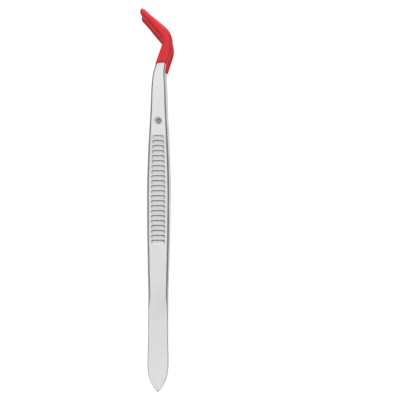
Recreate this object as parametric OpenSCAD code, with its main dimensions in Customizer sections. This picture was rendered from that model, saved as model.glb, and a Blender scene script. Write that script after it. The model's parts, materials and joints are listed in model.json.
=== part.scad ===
// Bent-tip tweezers with soft coated tips.
// Two sheet-steel arms are welded together at the butt. Each arm is its own spring: a thin leaf next to the
// weld, then a thicker grip, a neck, and a tip that bends out and back. A pin riveted in the lower arm
// enters a hole in the upper one as the tips close, and keeps them in line.
// The arms are shaped about a mid-plane at z = 0 with the butt point at the origin, and the finished
// tweezers are then laid on the table.

/* [Length] */
// From the butt point to where the tip starts to bend
straight_len = 126.4; // [120:0.1:132]
// From the butt point to the line each arm flexes about
flex_at = 22; // [18:0.5:26]

/* [Tip bends] */
// Turn of the first bend, away from the tip's side
first_turn = 18.5; // [10:0.5:30]
// Radius of the first bend
first_r = 20; // [12:1:30]
// Straight length between the two bends
between_bends = 6; // [3:0.5:10]
// Turn of the elbow, back towards the tip's side
elbow_turn = 64; // [45:1:80]
// Radius of the elbow
elbow_r = 7; // [6:0.5:12]
// Straight length of the tip after the elbow
tip_len = 12.3; // [9:0.1:16]

/* [Side shape] */
// Angle at which each arm leaves the mid-plane
open_angle = 4.1; // [3:0.1:5]
// Angle at which each tip comes back towards the mid-plane
closing_angle = 4.6; // [4:0.1:6]
// Where the knee of each arm starts
knee_at = 117; // [112:1:120]

/* [Widths] */
// Greatest width of the butt
butt_w = 8.6; // [8:0.1:9.5]
// Least width of the spring leaf
leaf_w = 7.95; // [7:0.05:9]
// Greatest width of the grip
grip_w = 9; // [8.5:0.1:10.5]
// Width of the neck where the coating starts
neck_w = 3.9; // [3.5:0.1:4.5]
// Width of the coated part between the bends
sleeve_w = 4.3; // [4.1:0.1:4.8]
// Width of the coated part just behind the rounded tip
sleeve_tip_w = 2.7; // [2.6:0.1:3.4]

/* [Thicknesses] */
// Thickness of the spring leaf
leaf_t = 1.2; // [1:0.05:1.4]
// Thickness of the arm at the grip
arm_t = 2.2; // [2:0.05:2.5]
// Thickness of the bare arm at its very tip
tip_t = 1.2; // [1.1:0.05:1.4]
// Thickness of the coating
coat_t = 0.7; // [0.6:0.05:0.8]
// Thickness of the weld metal between the butt ends
weld_t = 0.3; // [0.2:0.05:0.5]
// Length of the weld
weld_len = 8.5; // [7:0.5:8.5]

/* [Edges] */
// Width of the bevel along the outer edges of the arm
bevel_w = 0.8; // [0.5:0.05:1]
// Width of the bevel along the edges of the spring leaf
leaf_bevel = 0.3; // [0.2:0.05:0.4]
// Width of the broken edge on the inner side
inner_edge = 0.2; // [0.1:0.05:0.3]

/* [Grip grooves] */
// Number of grooves
groove_count = 22; // [10:1:22]
// Distance from one groove to the next
groove_pitch = 1.98; // [1.85:0.01:2]
// Where the groove nearest the butt is
groove_from = 61.9; // [58:0.1:62.5]
// Radius of the scoop
groove_r = 1.3; // [1.1:0.1:1.8]
// Depth of the scoop
groove_depth = 0.33; // [0.2:0.01:0.35]
// Bare face left beside the grooves, inside each bevel
groove_margin = 0.85; // [0.7:0.05:1.2]

/* [Guide pin] */
// Where the guide hole is
hole_at = 110; // [108:0.5:112]
// Radius of the guide hole
hole_r = 1.4; // [1.35:0.05:1.5]
// Radius of the guide pin
pin_r = 1.1; // [1:0.05:1.15]
// Radius of the pin's riveted head
rivet_r = 1.6; // [1.4:0.05:1.7]
// Depth of the pin's free end under the outer face of the upper arm
pin_below_face = 2.7; // [2.6:0.1:6]

/* [Hidden] */
$fn = 48;
steel = [0.80, 0.81, 0.82];
red = [0.82, 0.10, 0.13];

// Stretches of the arm as [length, turn] pairs, seen from above and seen from the side.
function arc_len(r, turn) = r * turn * PI / 180;
first_len = arc_len(first_r, first_turn);
elbow_len = arc_len(elbow_r, elbow_turn);
PLAN = [
    [straight_len, 0], [first_len, first_turn], [between_bends, 0], [elbow_len, -elbow_turn], [tip_len, 0],
];
butt_flat = 8.5;
leaf_bow = 10;
knee_len = 10;
SIDE = [
    [butt_flat, 0], [leaf_bow, open_angle], [knee_at - butt_flat - leaf_bow, 0],
    [knee_len, -open_angle - closing_angle], [100, 0],
];

// Where each feature is, as a distance along the arm.
sleeve_from = straight_len + first_len - 0.7;
elbow_from = straight_len + first_len + between_bends;
elbow_mid = elbow_from + elbow_len / 2;
sleeve_to = elbow_from + elbow_len + tip_len;
nose_len = 2;
arm_to = sleeve_to - 0.9;
butt_len = 13.5;
butt_fullness = 3.1;
blunt_w = 0.5;
ramp_from = 28;
ramp_to = 46;
bevel_from = 34;
bevel_to = 40;

// The end of a stretch that starts at p = [sideways, forward, heading].
function stretch(p, length, turn) =
    turn == 0 ? [p.x + length * sin(p.z), p.y + length * cos(p.z), p.z]
    : let (r = length * 180 / PI / turn, to = p.z + turn)
        [p.x + r * (cos(p.z) - cos(to)), p.y + r * (sin(to) - sin(p.z)), to];

// The place and heading at distance s along a list of stretches.
function trace(path, s, i = 0, p = [0, 0, 0]) =
    let (length = path[i][0], turn = path[i][1])
    s > length && i < len(path) - 1 ? trace(path, s - length, i + 1, stretch(p, length, turn))
    : stretch(p, s, turn * s / length);

// A smooth curve through [distance, value] pairs.
function tangent(keys, i) =
    i == 0 || i == len(keys) - 1 ? 0
    : (keys[i + 1].y - keys[i - 1].y) / (keys[i + 1].x - keys[i - 1].x);
function curve(keys, s, i = 0) =
    s <= keys[0].x ? keys[0].y
    : i == len(keys) - 1 ? keys[i].y
    : s > keys[i + 1].x ? curve(keys, s, i + 1)
    : let (span = keys[i + 1].x - keys[i].x, t = (s - keys[i].x) / span)
        (1 + 2 * t) * (1 - t) * (1 - t) * keys[i].y + t * (1 - t) * (1 - t) * span * tangent(keys, i)
        + t * t * (3 - 2 * t) * keys[i + 1].y - t * t * (1 - t) * span * tangent(keys, i + 1);

// Widths along the arm. The butt is a full ogive that ends in a blunt point.
WIDTHS = [
    [butt_len, butt_w], [butt_len + 5, (butt_w + leaf_w) / 2], [38, leaf_w],
    [51, leaf_w + 0.4 * (grip_w - leaf_w)], [64, grip_w - 0.15], [76, grip_w], [85, grip_w - 0.03],
    [95, 0.93 * grip_w], [105, 0.82 * grip_w], [115, 0.69 * grip_w], [straight_len - 1.4, 5.35],
    [sleeve_from, neck_w], [sleeve_from + 4, 3.2], [elbow_mid, 2.9], [elbow_mid + 8, 2.3],
    [arm_to - 1.5, 1.8], [arm_to, 1],
];
function butt_width(s) = butt_w * (1 - pow((butt_len - s) / butt_len, butt_fullness));
function width(s) = s < butt_len ? max(blunt_w, butt_width(s)) : curve(WIDTHS, s);

// The inner face is level from end to end, and the outer face rises gently from the leaf to the arm.
inner_v = -leaf_t / 2;
OUTER = [
    [ramp_from, leaf_t / 2], [ramp_to, arm_t - leaf_t / 2], [knee_at, arm_t - leaf_t / 2],
    [sleeve_from, 0.72 * arm_t - leaf_t / 2], [elbow_mid, 1.45 - leaf_t / 2], [arm_to, tip_t - leaf_t / 2],
];
function ramp(s, from, to) = let (t = min(1, max(0, (s - from) / (to - from)))) t * t * (3 - 2 * t);
function outer_v(s) =
    s <= knee_at ? leaf_t / 2 + (arm_t - leaf_t) * ramp(s, ramp_from, ramp_to) : curve(OUTER, s);
function bevel(s) =
    let (
        fade = 1 - 0.5 * ramp(s, 90, 128),
        full = leaf_bevel + (bevel_w - leaf_bevel) * ramp(s, bevel_from, bevel_to) * fade
    )
    min(full, 0.35 * width(s), 0.45 * (outer_v(s) - inner_v));
function inner_bevel(s) = min(inner_edge, 0.2 * width(s));

// A section's plane at distance s: v points out of the outer face and u across the arm. Distances run along
// the plan, so the rise per distance is the sine of the side's heading and the slope is that rise's angle.
base_z = (weld_t + leaf_t) / 2;
function plan_at(s) = trace(PLAN, s);
function side_at(s) = trace(SIDE, s);
function place(s) = [plan_at(s).x, plan_at(s).y, base_z + side_at(s).x];
function slope(s) = atan(sin(side_at(s).z));
function lift(s, u, v) =
    let (h = plan_at(s).z, a = slope(s))
    place(s) + u * [cos(h), -sin(h), 0] + v * [-sin(h) * sin(a), -cos(h) * sin(a), cos(a)];

function arm_ring(s) =
    let (w = width(s) / 2, top = outer_v(s), b = bevel(s), c = inner_bevel(s), d = 0.85 * b)
    [
        [c - w, inner_v], [w - c, inner_v], [w, inner_v + c], [w, top - d],
        [w - b, top], [b - w, top], [-w, top - d], [-w, inner_v + c],
    ];

// Faces over rings of n points each, the first point being number at. Side faces run from ring to ring, and
// an end is a fan over one ring. The inside of a shell has the same faces turned over.
function turned(faces, over) = over ? [for (f = faces) [f.x, f.z, f.y]] : faces;
function side_faces(rings, n, at, over) = turned([
    for (i = [0 : rings - 2], j = [0 : n - 1])
        let (a = at + i * n, k = (j + 1) % n)
        each [[a + j, a + n + j, a + k], [a + k, a + n + j, a + n + k]]
], over);
function start_face(n, at) = [for (j = [1 : n - 2]) [at, at + j, at + j + 1]];
function end_face(n, at, over) = turned([for (j = [1 : n - 2]) [at, at + j + 1, at + j]], over);

module loft(rings) {
    n = len(rings[0]);
    polyhedron(
        [for (ring = rings) each ring],
        concat(
            side_faces(len(rings), n, 0, false), start_face(n, 0), end_face(n, n * (len(rings) - 1), false)
        )
    );
}

// A cap open at its first ring, where the rim joins two outer points to each inner one.
module cap(outer, inner) {
    n = len(inner[0]);
    m = 2 * n;
    at = m * len(outer);
    rim = [
        for (j = [0 : n - 1])
            let (a = 2 * j, c = (a + 2) % m, p = at + j, q = at + (j + 1) % n)
            each [[a, a + 1, p], [a + 1, q, p], [a + 1, c, q]]
    ];
    polyhedron(
        concat([for (ring = outer) each ring], [for (ring = inner) each ring]),
        concat(
            side_faces(len(outer), m, 0, false), end_face(m, at - m, false),
            side_faces(len(inner), n, at, true), end_face(n, at + n * (len(inner) - 1), true), rim
        )
    );
}

// Where the arm is cut into sections: closer together where its outline turns.
function steps(from, to, count) = [for (i = [0 : count - 1]) from + (to - from) * i / count];
STATIONS = concat(
    [for (i = [0 : 9]) butt_len * pow(i / 9, 1.8)],
    [16, 19, flex_at, 25],
    steps(ramp_from, bevel_from, 2),
    steps(bevel_from, bevel_to, 4),
    steps(bevel_to, 81, 8),
    steps(81, knee_at, 7),
    steps(knee_at, straight_len, 6),
    steps(straight_len, sleeve_from, 5),
    steps(sleeve_from, arm_to - 0.6, 22),
    [arm_to - 0.6, arm_to]
);
module blank(from, to) {
    loft([
        for (s = STATIONS)
            if (s >= from && s <= to)
                [for (p = arm_ring(s)) lift(s, p.x, p.y)]
    ]);
}

module at(s) {
    translate(place(s)) rotate([slope(s), 0, 0]) children();
}
module across(r, length) {
    rotate([0, 90, 0]) cylinder(r = r, h = length, center = true);
}

// Each arm turns about the middle of its leaf: a round end in a hollow one, with a running clearance.
knuckle_r = 0.9 * leaf_t / 2;
knuckle_gap = 0.07;
knuckle_len = leaf_w - 2 * leaf_bevel;

module spring_leaf() {
    color(steel) difference() {
        blank(0, flex_at);
        at(flex_at) across(knuckle_r + knuckle_gap, 2 * leaf_w);
    }
}

// One scoop: a short drum with tapered ends, lying across the face.
module groove(half_len) {
    end = 0.7;
    rotate([0, 90, 0]) rotate_extrude() polygon([
        [0, -half_len], [groove_r - groove_depth, -half_len], [groove_r, end - half_len],
        [groove_r, half_len - end], [groove_r - groove_depth, half_len], [0, half_len],
    ]);
}
module grooves() {
    for (i = [0 : groove_count - 1]) {
        s = groove_from + i * groove_pitch;
        at(s) translate([0, 0, outer_v(s) + groove_r - groove_depth])
            groove(width(s) / 2 - bevel(s) - groove_margin);
    }
}

module arm() {
    color(steel) {
        difference() {
            blank(flex_at, arm_to);
            grooves();
            children();
        }
        at(flex_at) across(knuckle_r, knuckle_len);
    }
}

// The coating: a close cap over the end of the arm, thin at its lip. Its nose is round, and leans to the
// outer side of the bend.
nose_lean = 0.4;
function sleeve_ring(s) =
    let (
        back = max(0, s - sleeve_to + nose_len) / nose_len,
        round_off = sqrt(1 - back * back),
        coat = curve(COAT, s),
        half_w = curve(SLEEVE_W, s) / 2 * round_off,
        half_t = ((outer_v(s) - inner_v) / 2 + coat) * (0.3 + 0.7 * round_off),
        corner = min(coat + 0.3, 0.9 * half_w, 0.9 * half_t),
        middle = (outer_v(s) + inner_v) / 2,
        lean = nose_lean * back * back
    )
    [
        for (i = [10 : 25])
            let (
                quarter = floor(i / 4) % 4,
                a = 90 * quarter + 30 * (i % 4),
                side = quarter == 0 || quarter == 3 ? 1 : -1,
                top = quarter < 2 ? 1 : -1
            )
            [
                lean + side * (half_w - corner) + corner * cos(a),
                middle + top * (half_t - corner) + corner * sin(a),
            ]
    ];
SLEEVE_W = [
    [sleeve_from, neck_w + 0.4], [sleeve_from + 3, sleeve_w + 0.1], [elbow_mid - 2, sleeve_w],
    [elbow_mid + 5, 0.93 * sleeve_w], [sleeve_to - nose_len, sleeve_tip_w],
];
COAT = [[sleeve_from, 0.2], [sleeve_from + 4, 0.75 * coat_t], [elbow_mid, coat_t], [arm_to, coat_t]];
NOSE = [for (a = [0 : 17 : 85]) sleeve_to - nose_len * (1 - sin(a))];
module tip_sleeve() {
    color(red) cap(
        [
            for (s = concat(steps(sleeve_from, NOSE[0], 22), NOSE))
                [for (p = sleeve_ring(s)) lift(s, p.x, p.y)]
        ],
        [for (s = STATIONS) if (s >= sleeve_from) [for (p = arm_ring(s)) lift(s, p.x, p.y)]]
    );
}

// The pin stands upright between the arms, just ahead of the hole's middle, and its end is tapered, so that
// it stays clear of the hole from where it enters to where the tips meet. The seat of its riveted head runs
// out through the lower arm's face, and the head is ground flush there.
pin_ahead = 0.15;
pin_foot = place(hole_at + pin_ahead);
face_v = outer_v(hole_at);
pin_reach = pin_foot.z + lift(hole_at, 0, face_v).z - pin_below_face;
module pin_stock() {
    head_h = 0.5;
    spare = 0.2;
    taper = 0.9;
    dome = 0.25;
    translate([pin_foot.x, pin_foot.y, -pin_foot.z]) rotate_extrude() polygon([
        [0, -face_v - spare], [rivet_r, -face_v - spare], [rivet_r, spare - face_v],
        [pin_r, spare - face_v + head_h], [pin_r, pin_reach - taper],
        [0.9 * pin_r, pin_reach - dome], [0.7 * pin_r, pin_reach], [0, pin_reach],
    ]);
}
module pin() {
    side = 3 * pin_reach;
    intersection() {
        pin_stock();
        mirror([0, 0, 1]) at(hole_at) translate([-side / 2, -side / 2, face_v - side]) cube(side);
    }
}

// The upper arm's hole, with a chamfer at its mouth.
module guide_hole() {
    chamfer = 0.15;
    at(hole_at) {
        cylinder(r = hole_r, h = 4 * arm_t, center = true);
        translate([0, 0, face_v - chamfer]) cylinder(r1 = hole_r, r2 = hole_r + 2 * chamfer, h = 2 * chamfer);
    }
}

// The finished tweezers lie on the table on the lower arm's flat outer face. The origin is on the table under
// the middle of their outline: halfway from the side of the nose to the side of the elbow, and from butt to
// nose.
tilt = slope(hole_at);
flat_point = lift(hole_at, 0, face_v);
face_offset = flat_point.z * cos(tilt) - flat_point.y * sin(tilt);
elbow_side = plan_at(elbow_from + arc_len(elbow_r, first_turn)).x + sleeve_w / 2;
nose_side = plan_at(NOSE[0]).x - 0.8 * nose_len;
middle_x = (elbow_side + nose_side) / 2;
middle_y = plan_at(sleeve_to).y * cos(tilt) / 2 + 0.45;
module laid_down() {
    translate([-middle_x, -middle_y, face_offset]) rotate([tilt, 0, 0]) children();
}

module upper_arm() {
    laid_down() arm() guide_hole();
}
module upper_spring_leaf() {
    laid_down() spring_leaf();
}
module upper_tip_sleeve() {
    laid_down() tip_sleeve();
}
module lower_arm() {
    laid_down() mirror([0, 0, 1]) arm() mirror([0, 0, 1]) pin_stock();
}
module lower_spring_leaf() {
    laid_down() mirror([0, 0, 1]) spring_leaf();
}
module lower_tip_sleeve() {
    laid_down() mirror([0, 0, 1]) tip_sleeve();
}
module guide_pin() {
    color(steel) laid_down() pin();
}

// Weld metal fused between the butt ends, a little inside their outline.
module butt_weld() {
    inset = 0.15;
    from = 0.6;
    side = [
        for (i = [0 : 10])
            let (s = from + (weld_len - from) * pow(i / 10, 1.5))
            [width(s) / 2 - inset, s]
    ];
    color(steel) laid_down() translate([0, 0, -weld_t / 2]) linear_extrude(weld_t)
        polygon(concat(side, [for (i = [10 : -1 : 0]) [-side[i].x, side[i].y]]));
}

upper_arm();
upper_spring_leaf();
upper_tip_sleeve();
lower_arm();
lower_spring_leaf();
lower_tip_sleeve();
guide_pin();
butt_weld();
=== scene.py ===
"""Bent-tip tweezers with soft coated tips, lying on a pale studio floor.

Every piece of the tweezers is shaped in the arm's own space, in millimetres: s runs along the arm from the
butt point, u across it and v out of its outer face. The mid-plane between the arms is z = 0 there, and the
lower arm is the upper one mirrored. place() turns that space into the frame, in metres.
"""

import json
import math

import bmesh
import bpy
import numpy as np
from mathutils import Matrix, Vector


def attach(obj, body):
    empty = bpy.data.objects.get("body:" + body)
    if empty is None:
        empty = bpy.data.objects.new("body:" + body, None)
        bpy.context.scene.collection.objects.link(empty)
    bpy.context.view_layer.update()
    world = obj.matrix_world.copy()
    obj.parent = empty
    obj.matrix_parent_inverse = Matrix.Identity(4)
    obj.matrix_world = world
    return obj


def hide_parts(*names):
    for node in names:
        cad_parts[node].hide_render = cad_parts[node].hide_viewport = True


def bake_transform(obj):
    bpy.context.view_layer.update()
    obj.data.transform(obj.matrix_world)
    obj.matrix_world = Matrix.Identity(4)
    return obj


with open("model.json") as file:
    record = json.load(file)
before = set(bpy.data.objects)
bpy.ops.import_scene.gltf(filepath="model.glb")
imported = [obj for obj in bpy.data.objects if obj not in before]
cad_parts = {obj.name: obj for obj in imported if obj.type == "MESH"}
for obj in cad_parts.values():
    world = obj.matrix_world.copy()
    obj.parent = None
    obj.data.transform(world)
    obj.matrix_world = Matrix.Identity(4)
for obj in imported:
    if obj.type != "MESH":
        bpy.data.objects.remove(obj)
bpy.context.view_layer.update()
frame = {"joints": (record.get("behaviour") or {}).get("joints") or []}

# ------------------------------------------------ driving dimensions, in millimetres and degrees
# The outline from above: a straight arm, a slight bend to one side, and a sharper one back.
STRAIGHT_LEN = 126.4
FIRST_TURN, FIRST_R = 18.5, 20.0
BETWEEN_BENDS = 6.0
ELBOW_TURN, ELBOW_R = 64.0, 7.0
TIP_LEN = 12.3

# The arm from the side: flat at the weld, bowed open by the leaf, and bent back in at the knee.
OPEN_ANGLE, CLOSING_ANGLE = 4.1, 4.6
BUTT_FLAT, LEAF_BOW, KNEE_AT, KNEE_LEN = 8.5, 10.0, 117.0, 10.0
FLEX_AT, BEND_FROM, BEND_TO = 22.0, 10.0, 34.0

# Widths and thicknesses. The leaf ramps up to the arm's full thickness.
BUTT_W, LEAF_W, GRIP_W, NECK_W = 8.6, 7.95, 9.0, 3.9
LEAF_T, ARM_T, ELBOW_T, TIP_T = 1.2, 2.2, 1.45, 1.2
RAMP_FROM, RAMP_TO = 28.0, 46.0
BUTT_LEN, BUTT_FULLNESS, BLUNT_W = 13.5, 3.1, 0.5
BUTT_EASE, BUTT_EASE_LEN = 0.5, 1.5

# The outer edges' bevel. BEVEL_FALL is its depth over its width. It narrows to half on the way to the neck.
BEVEL_W, LEAF_BEVEL, BEVEL_FALL = 0.8, 0.3, 0.85
BEVEL_FROM, BEVEL_TO = 34.0, 40.0
NECK_BEVEL, NARROWS_FROM, NARROWS_TO = 0.5, 90, 128
BEVEL_SOFT, INNER_ROUND = 0.16, 0.22

# The scoops across the grip. LAST_GROOVE is the depth of the one next to the hole, as a share of the others'.
GROOVE_COUNT, GROOVE_PITCH, GROOVE_FROM = 22, 1.98, 61.9
GROOVE_R, GROOVE_DEPTH, LAST_GROOVE = 1.3, 0.33, 0.78
GROOVE_MARGIN, GROOVE_END, GROOVE_WORN = 0.8, 1.15, 0.03
GROOVE_STEEP, GROOVE_SHALLOW, GROOVE_LEAN = 1.25, 0.75, 0.17

# The guide hole, and the pin with its countersunk rivet head.
HOLE_AT, HOLE_R, HOLE_EDGE = 110.0, 1.4, 0.15
PIN_R, PIN_BELOW_FACE, PIN_AHEAD, PIN_EDGE = 1.1, 2.7, 0.15, 0.15
RIVET_R, RIVET_LEN, RIVET_SEAM = 1.6, 0.5, 0.02
TURNED_SIDES = 72

# The weld between the butt ends.
WELD_T, WELD_LEN, WELD_FROM, WELD_INSET, WELD_HOLLOW = 0.3, 8.5, 0.35, 0.12, 0.06

# The coatings. Each side has its lip's offset along the arm, its skew, and how far the nose is drawn out.
SLEEVE_W, SLEEVE_TIP_W, COAT_T, LIP_T, END_COAT = 4.3, 2.7, 0.7, 0.42, 0.9
SLEEVE_OVERLAP, LIP_LEN, LIP_DROOP = 0.7, 0.7, 0.65
LIP_SQUARENESS, TIP_SQUARENESS = 4.5, 2.4
NOSE_LEN, NOSE_LEAN = 2.0, 0.4
COATINGS = {"upper": (0.2, 0.42, 0.0), "lower": (-0.4, -0.05, 0.5)}

# ------------------------------------------------ worked out from them
FIRST_LEN = FIRST_R * math.radians(FIRST_TURN)
ELBOW_LEN = ELBOW_R * math.radians(ELBOW_TURN)
PLAN = [
    (STRAIGHT_LEN, 0), (FIRST_LEN, FIRST_TURN), (BETWEEN_BENDS, 0), (ELBOW_LEN, -ELBOW_TURN), (TIP_LEN, 0),
]
SIDE = [
    (BUTT_FLAT, 0), (LEAF_BOW, OPEN_ANGLE), (KNEE_AT - BUTT_FLAT - LEAF_BOW, 0),
    (KNEE_LEN, -OPEN_ANGLE - CLOSING_ANGLE), (100, 0),
]
SLEEVE_FROM = STRAIGHT_LEN + FIRST_LEN - SLEEVE_OVERLAP
ELBOW_MID = STRAIGHT_LEN + FIRST_LEN + BETWEEN_BENDS + ELBOW_LEN / 2
SLEEVE_TO = ELBOW_MID + ELBOW_LEN / 2 + TIP_LEN
ARM_TO = SLEEVE_TO - END_COAT
BASE_Z = (WELD_T + LEAF_T) / 2
INNER_V = -LEAF_T / 2

# Curves along the arm, as (distance, value) pairs.
WIDTHS = [
    (BUTT_LEN, BUTT_W), (BUTT_LEN + 5, (BUTT_W + LEAF_W) / 2), (38, LEAF_W),
    (51, LEAF_W + 0.4 * (GRIP_W - LEAF_W)), (64, GRIP_W - 0.15), (76, GRIP_W), (85, GRIP_W - 0.03),
    (95, 0.93 * GRIP_W), (105, 0.82 * GRIP_W), (115, 0.69 * GRIP_W), (STRAIGHT_LEN - 1.4, 5.35),
    (SLEEVE_FROM, NECK_W), (SLEEVE_FROM + 4, 3.2), (ELBOW_MID, 2.9), (ELBOW_MID + 8, 2.3),
    (ARM_TO - 1.5, 1.8), (ARM_TO, 1),
]
OUTER = [
    (KNEE_AT, ARM_T - LEAF_T / 2), (SLEEVE_FROM, 0.72 * ARM_T - LEAF_T / 2),
    (ELBOW_MID, ELBOW_T - LEAF_T / 2), (ARM_TO, TIP_T - LEAF_T / 2),
]
SLEEVE_WIDTHS = [
    (SLEEVE_FROM, NECK_W + 0.4), (SLEEVE_FROM + 3, SLEEVE_W + 0.1), (ELBOW_MID - 2, SLEEVE_W),
    (ELBOW_MID + 5, 0.93 * SLEEVE_W), (SLEEVE_TO - NOSE_LEN, SLEEVE_TIP_W),
]
COAT = [(SLEEVE_FROM, LIP_T), (SLEEVE_FROM + 4, 0.75 * COAT_T), (ELBOW_MID, COAT_T), (ARM_TO, COAT_T)]

# ------------------------------------------------ camera, in the arm's own space, and light, in metres
CAMERA_AT = (14.9, 81.4, 262.2)
CAMERA_AIM = (16.7, 78.6, 0.0)
CAMERA_ROLL = 0.38
CAMERA_LENS = 57.75
FAR_BOX_AT, FAR_BOX_SIZE, FAR_BOX_POWER = (0.1, 0.95, 0.16), 0.3, 5
TENT_STRENGTH = 1.17
GLOW_AT, GLOW, GLOW_FROM, GLOW_TO, GREY_TO = (0.018, 0, 0), 0.73, 0.12, 0.18, 0.2
FLOOR_HALF = 2


def trace(path, s):
    """Sideways place, forward place and heading at distances s along (length, turn) stretches. The last one
    goes on for ever."""
    x, y, heading = np.zeros_like(s), np.zeros_like(s), np.zeros_like(s)
    start = 0.0
    for i, (length, turn) in enumerate(path):
        is_last = i == len(path) - 1
        part = np.clip(s - start, 0, np.inf if is_last else length)
        bend = math.radians(turn) / length
        to = heading + bend * part
        if turn:
            x += (np.cos(heading) - np.cos(to)) / bend
            y += (np.sin(to) - np.sin(heading)) / bend
        else:
            x += part * np.sin(heading)
            y += part * np.cos(heading)
        heading = to
        start += length
    return x, y, heading


def curve(keys, s):
    """A smooth curve through (distance, value) pairs."""
    at, value = np.array(keys, float).T
    slope = np.zeros_like(value)
    slope[1:-1] = (value[2:] - value[:-2]) / (at[2:] - at[:-2])
    i = np.clip(np.searchsorted(at, s) - 1, 0, len(at) - 2)
    span = at[i + 1] - at[i]
    t = np.clip((s - at[i]) / span, 0, 1)
    return (
        (1 + 2 * t) * (1 - t) ** 2 * value[i] + t * (1 - t) ** 2 * span * slope[i]
        + t * t * (3 - 2 * t) * value[i + 1] - t * t * (1 - t) * span * slope[i + 1]
    )


def ramp(s, low, high):
    """A smooth step from 0 at low to 1 at high."""
    t = np.clip((s - low) / (high - low), 0, 1)
    return t * t * (3 - 2 * t)


def width(s):
    """The arm's width: a pointed arch at the butt, with a blunt point, and then the curve of widths."""
    ogive = BUTT_W * (1 - np.clip((BUTT_LEN - s) / BUTT_LEN, 0, 1) ** BUTT_FULLNESS)
    return np.where(s < BUTT_LEN, np.maximum(BLUNT_W, ogive), curve(WIDTHS, s))


def outer_v(s):
    """How far out the outer face is. It is eased down at the butt point."""
    stepped = LEAF_T / 2 + (ARM_T - LEAF_T) * ramp(s, RAMP_FROM, RAMP_TO)
    eased = stepped - BUTT_EASE * np.clip(1 - s / BUTT_EASE_LEN, 0, 1) ** 2
    return np.where(s <= KNEE_AT, eased, curve(OUTER, s))


def bevel(s):
    """The bevel's width, which stays well within the arm's width and thickness."""
    narrowing = 1 - (1 - NECK_BEVEL) * ramp(s, NARROWS_FROM, NARROWS_TO)
    full = LEAF_BEVEL + (BEVEL_W - LEAF_BEVEL) * ramp(s, BEVEL_FROM, BEVEL_TO) * narrowing
    return np.minimum(np.minimum(full, 0.35 * width(s)), 0.45 * (outer_v(s) - INNER_V))


def lift(s, u, v):
    """Points of the upper arm at distance s, u across and v out of its face, as an array of x, y, z."""
    s, u, v = np.broadcast_arrays(np.asarray(s, float), u, v)
    x, y, h = trace(PLAN, s)
    rise, _, pitch = trace(SIDE, s)
    a = np.arctan(np.sin(pitch))
    return np.stack([
        x + u * np.cos(h) - v * np.sin(h) * np.sin(a),
        y - u * np.sin(h) - v * np.cos(h) * np.sin(a),
        BASE_Z + rise + v * np.cos(a),
    ], axis=-1)


def arm_space():
    """The matrix from the arm's own space to the frame, from the two lines that the arms flex about."""
    flexes = {joint["child"]: Vector(joint["pos_m"]) for joint in frame["joints"]}
    upper, lower = flexes["upper"], flexes["lower"]
    across = Vector((1, 0, 0))
    out = (upper - lower).normalized()
    along = out.cross(across)
    origin = (upper + lower) / 2 - along * FLEX_AT / 1000
    turned = Matrix((across, along, out)).transposed().to_4x4()
    return Matrix.Translation(origin) @ turned @ Matrix.Scale(0.001, 4)


UPPER = arm_space()
LOWER = UPPER @ Matrix.Diagonal((1, 1, -1, 1))


def place(points, space):
    """Points in the arm's own space as points in the frame."""
    m = np.array(space)
    return points @ m[:3, :3].T + m[:3, 3]


# ------------------------------------------------ meshes
def closed_mesh(name, rings, space):
    """A closed surface through rings of points in the arm's own space, with flat ends."""
    rows, columns = rings.shape[:2]
    i, j = np.meshgrid(np.arange(rows - 1), np.arange(columns), indexing="ij")
    k = (j + 1) % columns
    quads = np.stack([i * columns + j, i * columns + k, (i + 1) * columns + k, (i + 1) * columns + j], -1)
    last = (rows - 1) * columns
    ends = [list(range(columns)), list(range(last, last + columns))]
    mesh = bpy.data.meshes.new(name)
    mesh.from_pydata(place(rings.reshape(-1, 3), space).tolist(), [], quads.reshape(-1, 4).tolist() + ends)
    shell = bmesh.new()
    shell.from_mesh(mesh)
    bmesh.ops.recalc_face_normals(shell, faces=shell.faces)
    shell.to_mesh(mesh)
    shell.free()
    return mesh


def add_piece(name, mesh, material):
    """A new object of this mesh, with this material only."""
    piece = bpy.data.objects.new(name, mesh)
    bpy.context.scene.collection.objects.link(piece)
    mesh.materials.clear()
    mesh.materials.append(material)
    return piece


def soften(piece, angle):
    """Smooth shading, with edges sharper than angle kept crisp and flat faces kept flat."""
    piece.data.polygons.foreach_set("use_smooth", [True] * len(piece.data.polygons))
    piece.data.set_sharp_from_angle(angle=math.radians(angle))
    weighted = piece.modifiers.new("flat faces stay flat", "WEIGHTED_NORMAL")
    weighted.keep_sharp = True


def cut(piece, tool_mesh):
    """Takes the tool's shape out of the piece."""
    tool = bpy.data.objects.new(tool_mesh.name, tool_mesh)
    bpy.context.scene.collection.objects.link(tool)
    boolean = piece.modifiers.new("cut", "BOOLEAN")
    boolean.operation = "DIFFERENCE"
    boolean.solver = "EXACT"
    boolean.object = tool
    bpy.context.view_layer.update()
    result = bpy.data.meshes.new_from_object(piece.evaluated_get(bpy.context.evaluated_depsgraph_get()))
    piece.modifiers.remove(boolean)
    piece.data = result
    bpy.data.objects.remove(tool)


def turned_mesh(name, profile, s, space, upright=False):
    """A round solid from (radius, v) pairs. Its rings are parallel to the arm's face at distance s, and its
    middle line is square to that face, or upright between the arms."""
    radius, v = (np.array(column, float)[:, None, None] for column in zip(*profile))
    base = lift(s, 0, 0)
    across, out = lift(s, 1, 0) - base, lift(s, 0, 1) - base
    a = np.linspace(0, 2 * math.pi, TURNED_SIDES, endpoint=False)[:, None]
    rim = np.cos(a) * across + np.sin(a) * np.cross(out, across)
    middle = np.array((0.0, 0.0, 1.0)) if upright else out
    return closed_mesh(name, base + radius * rim + v * middle, space)


# ------------------------------------------------ the arm
def between(a, b, shares):
    """Points at these shares of the way from a to b."""
    return [a + (b - a) * t for t in shares]


def rounded(a, corner, b, count):
    """Points from a to b round a corner, both ends included."""
    return [(1 - t) ** 2 * a + 2 * t * (1 - t) * corner + t * t * b for t in np.linspace(0, 1, count)]


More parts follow.
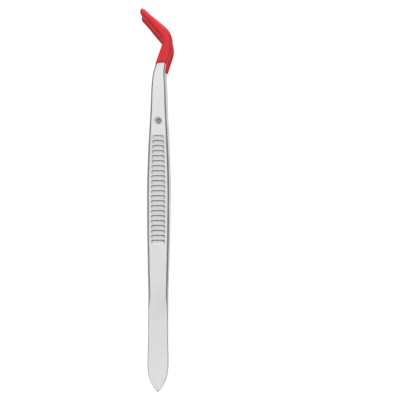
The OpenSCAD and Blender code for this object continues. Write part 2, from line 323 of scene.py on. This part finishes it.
def half_section(s):
    """The right half of the arm's section at distances s, from the middle of the inner face to the middle of
    the outer face, with every edge rounded off. Each point is an array of (u, v) pairs, one for each s. The
    points are closest together at the edges and at the scoops' ends."""
    def at(u, v):
        return np.stack(np.broadcast_arrays(u, v), -1).astype(float)

    w, top, b = width(s) / 2, outer_v(s), bevel(s)
    drop = BEVEL_FALL * b
    edge = np.minimum(INNER_ROUND, 0.4 * w)
    shoulder, crest = at(w, top - drop), at(w - b, top)
    soft = np.minimum(BEVEL_SOFT, 0.3 * b)[:, None]
    slant = (crest - shoulder) / np.linalg.norm(crest - shoulder, axis=1)[:, None]
    up, inward = at(0 * w, 1.0), at(0 * w - 1, 0.0)
    groove_half = np.maximum(w - b - GROOVE_MARGIN, 0.3 * (w - b))
    end = np.minimum(GROOVE_END, 0.7 * groove_half)
    low = between(at(0, INNER_V), at(w - edge, INNER_V), [0, 0.35, 0.7, 0.9])
    round_under = rounded(at(w - edge, INNER_V), at(w, INNER_V), at(w, INNER_V + edge), 5)
    round_shoulder = rounded(shoulder - up * soft, shoulder, shoulder + slant * soft, 4)
    round_crest = rounded(crest - slant * soft, crest, crest + inward * soft, 5)
    side = between(round_under[-1], round_shoulder[0], [1 / 3, 2 / 3])
    slope = between(round_shoulder[-1], round_crest[0], [1 / 3, 2 / 3])
    rim = between(round_crest[-1], at(groove_half, top), [0.3, 0.6, 0.85, 0.95])
    scoop_end = [at(groove_half - end * t, top) for t in (0, 0.04, 0.1, 0.18, 0.28, 0.4, 0.55, 0.75, 1)]
    scoop = between(at(groove_half - end, top), at(0, top), [0.25, 0.5, 0.75, 1])
    return low + round_under + side + round_shoulder + slope + round_crest + rim + scoop_end + scoop


def groove_depth(s, u):
    """How deep the scoops are at distance s and u across. Each is steeper on the tips' side and has rounded
    ends, and its edges are worn soft."""
    depth = np.zeros_like(u)
    for i in range(GROOVE_COUNT):
        at = np.array([GROOVE_FROM + i * GROOVE_PITCH])
        half = float((width(at) / 2 - bevel(at))[0]) - GROOVE_MARGIN
        full = GROOVE_DEPTH * (LAST_GROOVE if i == GROOVE_COUNT - 1 else 1)
        x = np.clip((np.abs(u) - half + GROOVE_END) / GROOVE_END, 0, 1.3)
        radius = GROOVE_R - full * x * x
        ahead = s - at[0] - GROOVE_LEAN
        t = np.where(ahead > 0, ahead * GROOVE_STEEP, -ahead * GROOVE_SHALLOW)
        reach = np.sqrt(np.maximum(radius**2 - t**2, 0)) - (GROOVE_R - full)
        depth = np.maximum(depth, (reach + np.sqrt(reach**2 + GROOVE_WORN**2)) / 2)
    return depth


def arm_stations():
    """Distances of the arm's rings: close together at the butt point and on the scoops' steep sides."""
    leaf_step, neck_step = 0.7, 0.6
    butt = BUTT_LEN * np.linspace(0, 1, 36) ** 1.7
    leaf = np.arange(BUTT_LEN + 1, GROOVE_FROM - GROOVE_PITCH, leaf_step)
    share = np.array([0.46, 0.51, 0.56, 0.66, 0.78, 0.9, 1.02, 1.1, 1.17, 1.23, 1.28, 1.33, 1.37, 1.4, 1.43])
    scoops = np.concatenate([GROOVE_FROM + GROOVE_PITCH * (i + share - 1) for i in range(GROOVE_COUNT + 1)])
    neck = np.arange(scoops[-1] + 0.4, ARM_TO - neck_step / 2, neck_step)
    return np.concatenate([butt, leaf, scoops, neck, [ARM_TO]])


def arm_piece(name, space, material):
    """One blank from butt to tip, with the scoops sunk into its outer face."""
    s = arm_stations()
    right = np.stack(half_section(s), 1)
    left = right[:, -2:0:-1] * (-1, 1)
    section = np.concatenate([right, left], 1)
    u, v = section[..., 0], section[..., 1]
    distance = np.broadcast_to(s[:, None], u.shape)
    on_face = v > outer_v(distance) - 1e-6
    v = v - np.where(on_face, groove_depth(distance, u), 0)
    return add_piece(name, closed_mesh(name, lift(distance, u, v), space), material)


# ------------------------------------------------ hole, pin and weld
def cut_guide_hole(piece):
    """The upper arm's hole, with a rounded edge at its mouth. The cutter goes well past both faces."""
    face = float(outer_v(np.array(HOLE_AT)))
    edge_turn, flare, clear = 1.4, 0.4, 1
    turns = np.linspace(0, edge_turn, 6)
    mouth = [(HOLE_R + HOLE_EDGE * (1 - math.cos(a)), face - HOLE_EDGE * (1 - math.sin(a))) for a in turns]
    profile = [(HOLE_R, -2 * ARM_T)] + mouth + [(mouth[-1][0] + flare, face + clear)]
    cut(piece, turned_mesh("hole", profile, HOLE_AT, UPPER))


def pin_profile():
    """The rivet head flush in the lower arm, the pin, and its rounded free end, as (radius, v) pairs."""
    face = float(outer_v(np.array(HOLE_AT)))
    foot, hole = lift(HOLE_AT + PIN_AHEAD, 0, 0), lift(HOLE_AT, 0, face)
    reach = float(foot[2] + hole[2]) - PIN_BELOW_FACE
    edge_in, edge_down = 0.1, 0.05
    head = [
        (0.3, face), (RIVET_R - edge_in, face), (RIVET_R - RIVET_SEAM, face - edge_down),
        (PIN_R, face - RIVET_LEN),
    ]
    shank = [(PIN_R, -reach * t) for t in (0.3, 0.6, 0.9)]
    turns = np.linspace(0, math.pi / 2, 8)
    edge = [(PIN_R - PIN_EDGE * (1 - math.cos(a)), PIN_EDGE * (1 - math.sin(a)) - reach) for a in turns]
    crown = [(0.5 * PIN_R, -reach - 0.02), (0.1 * PIN_R, -reach - 0.03)]
    return head + shank + edge + crown


def cut_rivet_seat(piece):
    """The countersunk seat of the rivet in the lower arm, a hair wider than the head at its mouth."""
    face = float(outer_v(np.array(HOLE_AT)))
    wall = PIN_R - RIVET_SEAM
    mouth = [(RIVET_R + 0.35, face + 0.3), (RIVET_R + 0.05, face), (RIVET_R - RIVET_SEAM, face - 0.08)]
    profile = mouth + [(wall, face - RIVET_LEN), (wall, -2 * ARM_T)]
    cut(piece, turned_mesh("seat", profile, HOLE_AT + PIN_AHEAD, LOWER, upright=True))


def weld_mesh():
    """Weld metal that fills the gap round the butt ends, ground to a shallow hollow seam."""
    rings, rim_points, fused, ripple_height = 60, 7, 0.02, 0.03
    s = WELD_FROM + (WELD_LEN - WELD_FROM) * np.linspace(0, 1, rings) ** 1.5
    a = np.linspace(-math.pi / 2, math.pi / 2, rim_points)
    ripple = ripple_height * np.sin(9 * s) * np.sin(2.3 * s)
    w = width(s) / 2 - WELD_INSET + ripple
    x = w[:, None] - WELD_HOLLOW * np.cos(a)
    y = np.broadcast_to(s[:, None], x.shape)
    z = np.broadcast_to((WELD_T / 2 + fused) * np.sin(a), x.shape)
    right = np.stack([x, y, z], -1)
    left = right[:, ::-1] * (-1, 1, 1)
    return closed_mesh("butt_weld_seam", np.concatenate([right, left], 1), UPPER)


# ------------------------------------------------ coating
def sleeve_mesh(name, space, lip_at, lip_skew, drip):
    """The dipped coating. Its lip is skewed across the arm and droops at its sides, as dipping leaves it. Its
    nose leans outward and is drawn out by the last drip. Its section is squarer at the lip, where it follows
    the arm, and its end hides inside the arm's faces."""
    inside_w, inside_t, lip_round, nose_flat = 0.92, 0.9, 1.6, 0.3
    across = np.linspace(0, 2 * math.pi, TURNED_SIDES, endpoint=False)
    lip = np.array([0, 0.02, 0.05, 0.1, 0.17, 0.26, 0.4, 0.6])
    body = np.arange(0.9, SLEEVE_TO - NOSE_LEN - SLEEVE_FROM, 0.35)
    nose = SLEEVE_TO - SLEEVE_FROM - NOSE_LEN * (1 - np.sin(np.linspace(0, 1.5, 16)))
    along = np.concatenate([lip, body, nose])
    c, q = np.cos(across)[None], np.sin(across)[None]
    s0 = SLEEVE_FROM + along[:, None]
    back = np.clip((s0 - SLEEVE_TO + NOSE_LEN) / NOSE_LEN, 0, 1)
    round_off = np.sqrt(1 - back**2)
    less_square = ramp(s0, SLEEVE_FROM, SLEEVE_FROM + 6)
    squareness = LIP_SQUARENESS - (LIP_SQUARENESS - TIP_SQUARENESS) * less_square
    reach = (np.abs(c) ** squareness + np.abs(q) ** squareness) ** (-1 / squareness)
    coat = curve(COAT, s0)
    swell = 1 - np.clip(1 - along[:, None] / LIP_LEN, 0, 1) ** lip_round
    on_arm = np.minimum(s0, ARM_TO)
    arm_w, arm_t = width(on_arm) / 2, (outer_v(on_arm) - INNER_V) / 2
    lip_w, lip_t = arm_w * inside_w, arm_t * inside_t
    half_w = (lip_w + (curve(SLEEVE_WIDTHS, s0) / 2 - lip_w) * swell) * round_off
    half_t = (lip_t + (arm_t + coat - lip_t) * swell) * (nose_flat + (1 - nose_flat) * round_off)
    u = reach * c * half_w
    lip_curve = lip_at + lip_skew * u + LIP_DROOP * (0.5 - (u / half_w) ** 4)
    skew = lip_curve * (1 - ramp(s0, SLEEVE_FROM, SLEEVE_FROM + 5))
    middle = (outer_v(on_arm) + INNER_V) / 2
    drawn = drip * ramp(s0, SLEEVE_TO - 6, SLEEVE_TO)
    rings = lift(s0 + skew + drawn, u + NOSE_LEAN * back**2, middle + reach * q * half_t)
    return closed_mesh(name, rings, space)


# ------------------------------------------------ materials
class Finish:
    """A principled material with short calls for the procedural nodes that the pieces share."""

    def __init__(self, name):
        self.material = bpy.data.materials.new(name)
        self.material.use_nodes = True
        self.tree = self.material.node_tree
        self.shader = self.tree.nodes["Principled BSDF"]
        where = self.tree.nodes.new("ShaderNodeTexCoord")
        self.place, self.facing = where.outputs["Object"], where.outputs["Normal"]
        self.height = None

    def keep(self, socket, value):
        """Sets a value that is the same all over the surface."""
        self.shader.inputs[socket].default_value = value

    def use(self, socket, value):
        """Drives a socket of the shader with a pattern."""
        self.tree.links.new(value, self.shader.inputs[socket])

    def noise(self, scale, detail):
        """Noise whose grains are about 1 / scale metres along x, y and z."""
        mapping = self.tree.nodes.new("ShaderNodeMapping")
        mapping.inputs["Scale"].default_value = scale
        self.tree.links.new(self.place, mapping.inputs["Vector"])
        noise = self.tree.nodes.new("ShaderNodeTexNoise")
        noise.inputs["Scale"].default_value = 1.0
        noise.inputs["Detail"].default_value = detail
        noise.inputs["Roughness"].default_value = 0.55
        self.tree.links.new(mapping.outputs["Vector"], noise.inputs["Vector"])
        return noise.outputs["Fac"]

    def spread(self, value, low, high, to_low=0.0, to_high=1.0):
        """value from low to high becomes to_low to to_high, and stays there beyond."""
        node = self.tree.nodes.new("ShaderNodeMapRange")
        for name, number in (("From Min", low), ("From Max", high), ("To Min", to_low), ("To Max", to_high)):
            node.inputs[name].default_value = number
        self.tree.links.new(value, node.inputs["Value"])
        return node.outputs["Result"]

    def math(self, operation, a, b=0.0):
        """Arithmetic on patterns and numbers."""
        node = self.tree.nodes.new("ShaderNodeMath")
        node.operation = operation
        for socket, value in zip(node.inputs, (a, b)):
            if isinstance(value, (int, float)):
                socket.default_value = value
            else:
                self.tree.links.new(value, socket)
        return node.outputs["Value"]

    def split(self, vector, part):
        """The X, Y or Z part of a vector."""
        node = self.tree.nodes.new("ShaderNodeSeparateXYZ")
        self.tree.links.new(vector, node.inputs["Vector"])
        return node.outputs[part]

    def dot(self, vector, direction):
        node = self.tree.nodes.new("ShaderNodeVectorMath")
        node.operation = "DOT_PRODUCT"
        node.inputs[1].default_value = direction
        self.tree.links.new(vector, node.inputs[0])
        return node.outputs["Value"]

    def mix(self, share, a, b):
        """Colour a where share is 0, and b where it is 1."""
        node = self.tree.nodes.new("ShaderNodeMix")
        node.data_type = "RGBA"
        self.tree.links.new(share, node.inputs["Factor"])
        for socket, value in ((node.inputs[6], a), (node.inputs[7], b)):
            if isinstance(value, tuple):
                socket.default_value = (*value, 1)
            else:
                self.tree.links.new(value, socket)
        return node.outputs[2]

    def bump(self, value, distance):
        """Adds relief, distance metres deep, to what is there already."""
        node = self.tree.nodes.new("ShaderNodeBump")
        node.inputs["Distance"].default_value = distance
        self.tree.links.new(value, node.inputs["Height"])
        if self.height is not None:
            self.tree.links.new(self.height, node.inputs["Normal"])
        self.height = node.outputs["Normal"]
        self.use("Normal", self.height)


def scoop_shade_band(f):
    """1 on the arms' outer faces where the scoops are ground, and 0 elsewhere, with soft ends and sides. It
    masks the painted shade over the scoops. Its distances are in metres."""
    fade, half_from, half_to, clear_of_middle = 0.0005, 0.0032, 0.0023, 0.001
    first, last = GROOVE_FROM, GROOVE_FROM + (GROOVE_COUNT - 1) * GROOVE_PITCH
    start, end = (float(place(lift(s, 0, 0), UPPER)[1]) for s in (first - 0.8, last + 1.0))
    origin, out = UPPER.translation, UPPER.col[2].to_3d().normalized()
    along = f.split(f.place, "Y")
    across = f.math("ABSOLUTE", f.math("SUBTRACT", f.split(f.place, "X"), origin.x))
    beyond = f.math("SUBTRACT", f.dot(f.place, out), origin.dot(out))
    outer = f.spread(f.math("MULTIPLY", beyond, f.dot(f.facing, out)), 0.0, clear_of_middle)
    length = f.math("MULTIPLY", f.spread(along, start, start + fade), f.spread(along, end, end - fade))
    return f.math("MULTIPLY", f.math("MULTIPLY", length, outer), f.spread(across, half_from, half_to))


def arm_steel():
    """Stainless steel with a satin face, finely brushed along the arm, and painted darker where the scoops
    are: painted shade in the recesses.
    """
    f = Finish("brushed_steel")
    f.keep("Metallic", 0.9)
    brushed = f.noise((5200, 130, 5200), detail=3)
    clouds = f.noise((160, 70, 160), detail=3)
    scratches = f.spread(f.noise((2600, 260, 2600), detail=1), 0.68, 0.72)
    grain = f.spread(brushed, 0.3, 0.7, 0.34, 0.44)
    uneven = f.math("ADD", grain, f.spread(clouds, 0.35, 0.65, -0.03, 0.03))
    f.use("Roughness", f.math("ADD", uneven, f.math("MULTIPLY", scratches, 0.06)))
    face = f.mix(f.spread(clouds, 0.3, 0.7), (0.752, 0.753, 0.754), (0.782, 0.783, 0.784))
    # Painted shade: the base colour is darker over the scooped band.
    f.use("Base Color", f.mix(scoop_shade_band(f), face, (0.67, 0.67, 0.67)))
    f.bump(clouds, 0.00002)
    f.bump(brushed, 0.000002)
    return f.material


def pin_steel():
    """Harder steel, turned. Its colour is painted much darker than the arms': painted shade, as its end is
    seen deep in the guide hole.
    """
    f = Finish("pin_steel")
    f.keep("Metallic", 1.0)
    rings = f.noise((900, 900, 9000), detail=2)
    f.use("Roughness", f.spread(rings, 0.3, 0.7, 0.22, 0.38))
    # Painted shade: the pin's colour is kept dark so that its end in the hole reads as shaded.
    f.use("Base Color", f.mix(f.spread(rings, 0.35, 0.65), (0.27, 0.27, 0.28), (0.34, 0.34, 0.35)))
    f.bump(rings, 0.000004)
    return f.material


def weld_metal():
    """Fused and ground weld metal, with the straw and brown tints of its heat."""
    f = Finish("weld_metal")
    f.keep("Metallic", 1.0)
    ripples = f.noise((900, 2200, 900), detail=3)
    tint = f.noise((200, 420, 200), detail=2)
    f.use("Base Color", f.mix(f.spread(tint, 0.35, 0.65), (0.52, 0.5, 0.47), (0.42, 0.36, 0.29)))
    f.use("Roughness", f.spread(ripples, 0.3, 0.7, 0.34, 0.52))
    f.bump(ripples, 0.00002)
    return f.material


def red_vinyl():
    """Soft dipped vinyl: an even red skin with a soft gloss, faint flow marks and fine pits. Its red is
    painted deeper where the surface turns away from straight up, on the sides and at the lip: painted shade."""
    f = Finish("red_vinyl")
    f.keep("Specular IOR Level", 0.4)
    flow = f.noise((420, 160, 420), detail=3)
    pits = f.noise((4200, 4200, 4200), detail=2)
    # Painted shade: the red is mixed deeper where the surface's normal turns away from straight up.
    level = f.math("ABSOLUTE", f.split(f.facing, "Z"))
    skin = f.mix(f.spread(flow, 0.3, 0.7), (0.87, 0.017, 0.03), (0.96, 0.032, 0.046))
    f.use("Base Color", f.mix(f.spread(level, 0.3, 0.93), (0.5, 0.01, 0.028), skin))
    skin_gloss = f.spread(flow, 0.3, 0.7, 0.42, 0.52)
    f.use("Roughness", f.math("ADD", skin_gloss, f.spread(pits, 0.4, 0.7, 0, 0.06)))
    f.bump(flow, 0.00006)
    f.bump(pits, 0.000004)
    return f.material


def table_paper():
    """Pale paper on a light table. It glows round the tweezers, and its colour is painted grey towards its
    far parts: painted fall-off of the light.
    """
    f = Finish("table_paper")
    f.keep("Roughness", 0.9)
    f.keep("Specular IOR Level", 0.1)
    f.keep("Emission Color", (1, 1, 1, 1))
    node = f.tree.nodes.new("ShaderNodeVectorMath")
    node.operation = "DISTANCE"
    node.inputs[1].default_value = GLOW_AT
    f.tree.links.new(f.place, node.inputs[0])
    away = node.outputs["Value"]
    # Painted fall-off of light: the paper's colour turns darker grey away from the tweezers.
    f.use("Base Color", f.mix(f.spread(away, GLOW_FROM, GREY_TO), (0.5, 0.5, 0.5), (0.2, 0.2, 0.2)))
    f.use("Emission Strength", f.spread(away, GLOW_FROM, GLOW_TO, GLOW, 0.0))
    return f.material


# ------------------------------------------------ the tweezers
def bend_with(piece, space):
    """Bakes the piece's placement into its mesh. The points at BEND_FROM and BEND_TO are worked out but not
    used.
    """
    start, end = (Vector(place(lift(s, 0, 0), space)) for s in (BEND_FROM, BEND_TO))
    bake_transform(piece)


def add_arm(side, space, cutter):
    steel = bpy.data.materials.get("brushed_steel") or arm_steel()
    piece = arm_piece(f"{side}_arm_blank", space, steel)
    cutter(piece)
    soften(piece, 35)
    bend_with(piece, space)
    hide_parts(f"{side}_arm", f"{side}_spring_leaf")


def add_sleeve(side, space):
    vinyl = bpy.data.materials.get("red_vinyl") or red_vinyl()
    name = f"{side}_tip_coating"
    piece = add_piece(name, sleeve_mesh(name, space, *COATINGS[side]), vinyl)
    soften(piece, 60)
    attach(piece, side)
    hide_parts(f"{side}_tip_sleeve")


def add_pin():
    mesh = turned_mesh("guide_pin_turned", pin_profile(), HOLE_AT + PIN_AHEAD, LOWER, upright=True)
    piece = add_piece("guide_pin_turned", mesh, pin_steel())
    soften(piece, 35)
    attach(piece, "lower")
    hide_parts("guide_pin")


def add_weld():
    piece = add_piece("butt_weld_seam", weld_mesh(), weld_metal())
    soften(piece, 60)
    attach(piece, "butt")
    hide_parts("butt_weld")


# ------------------------------------------------ studio
def add_camera():
    camera = bpy.data.objects.new("camera", bpy.data.cameras.new("camera"))
    camera.data.lens = CAMERA_LENS
    camera.data.clip_start = 0.01
    at, aim = (Vector(place(np.array(point), UPPER)) for point in (CAMERA_AT, CAMERA_AIM))
    along = UPPER.col[1].to_3d()
    back = (at - aim).normalized()
    right = along.cross(back).normalized()
    look = Matrix((right, back.cross(right), back)).transposed().to_4x4()
    camera.matrix_world = Matrix.Translation(at) @ look @ Matrix.Rotation(math.radians(CAMERA_ROLL), 4, "Z")
    bpy.context.scene.collection.objects.link(camera)
    bpy.context.scene.camera = camera


def add_floor():
    """The sheet of paper that the tweezers lie on, at z = 0."""
    r = FLOOR_HALF
    mesh = bpy.data.meshes.new("floor")
    mesh.from_pydata([(-r, -r, 0), (r, -r, 0), (r, r, 0), (-r, r, 0)], [], [(0, 1, 2, 3)])
    floor = add_piece("floor", mesh, table_paper())


def add_far_box():
    """A soft box beyond the tips, which faces the tweezers."""
    light = bpy.data.objects.new("far_box", bpy.data.lights.new("far_box", "AREA"))
    light.data.shape = "DISK"
    light.data.size = FAR_BOX_SIZE
    light.data.energy = FAR_BOX_POWER
    light.location = FAR_BOX_AT
    light.rotation_euler = Vector(FAR_BOX_AT).to_track_quat("Z", "Y").to_euler()
    bpy.context.scene.collection.objects.link(light)


def add_sky():
    """A studio tent: bright overhead, dimmer down its sides, and dark round the horizon to left and right."""
    world = bpy.data.worlds.new("studio")
    bpy.context.scene.world = world
    world.use_nodes = True
    tree = world.node_tree
    direction = tree.nodes.new("ShaderNodeTexCoord").outputs["Generated"]
    sideways = tree.nodes.new("ShaderNodeVectorMath")
    sideways.operation = "ABSOLUTE"
    tree.links.new(direction, sideways.inputs[0])
    parts = []
    for source, weights in ((direction, (-0.05, 0.12, 1.0)), (sideways.outputs["Vector"], (0.45, 0.0, 0.0))):
        part = tree.nodes.new("ShaderNodeVectorMath")
        part.operation = "DOT_PRODUCT"
        part.inputs[1].default_value = weights
        tree.links.new(source, part.inputs[0])
        parts.append(part.outputs["Value"])
    height = tree.nodes.new("ShaderNodeMath")
    height.operation = "SUBTRACT"
    for part, socket in zip(parts, height.inputs):
        tree.links.new(part, socket)
    band = tree.nodes.new("ShaderNodeValToRGB")
    stops = band.color_ramp.elements
    stops[0].position = 0.1
    stops[0].color = (0.02, 0.02, 0.02, 1)
    stops[1].position = 1.0
    stops[1].color = (0.91, 0.91, 0.91, 1)
    for height_share, grey in ((0.36, 0.24), (0.52, 0.62), (0.64, 0.92), (0.74, 1.0)):
        stops.new(height_share).color = (grey, grey, grey, 1)
    tree.links.new(height.outputs["Value"], band.inputs["Fac"])
    tree.links.new(band.outputs["Color"], tree.nodes["Background"].inputs["Color"])
    tree.nodes["Background"].inputs["Strength"].default_value = TENT_STRENGTH


bpy.context.scene.view_settings.view_transform = "Standard"
add_camera()
add_floor()
add_sky()
add_far_box()
add_arm("upper", UPPER, cut_guide_hole)
add_arm("lower", LOWER, cut_rivet_seat)
add_sleeve("upper", UPPER)
add_sleeve("lower", LOWER)
add_pin()
add_weld()
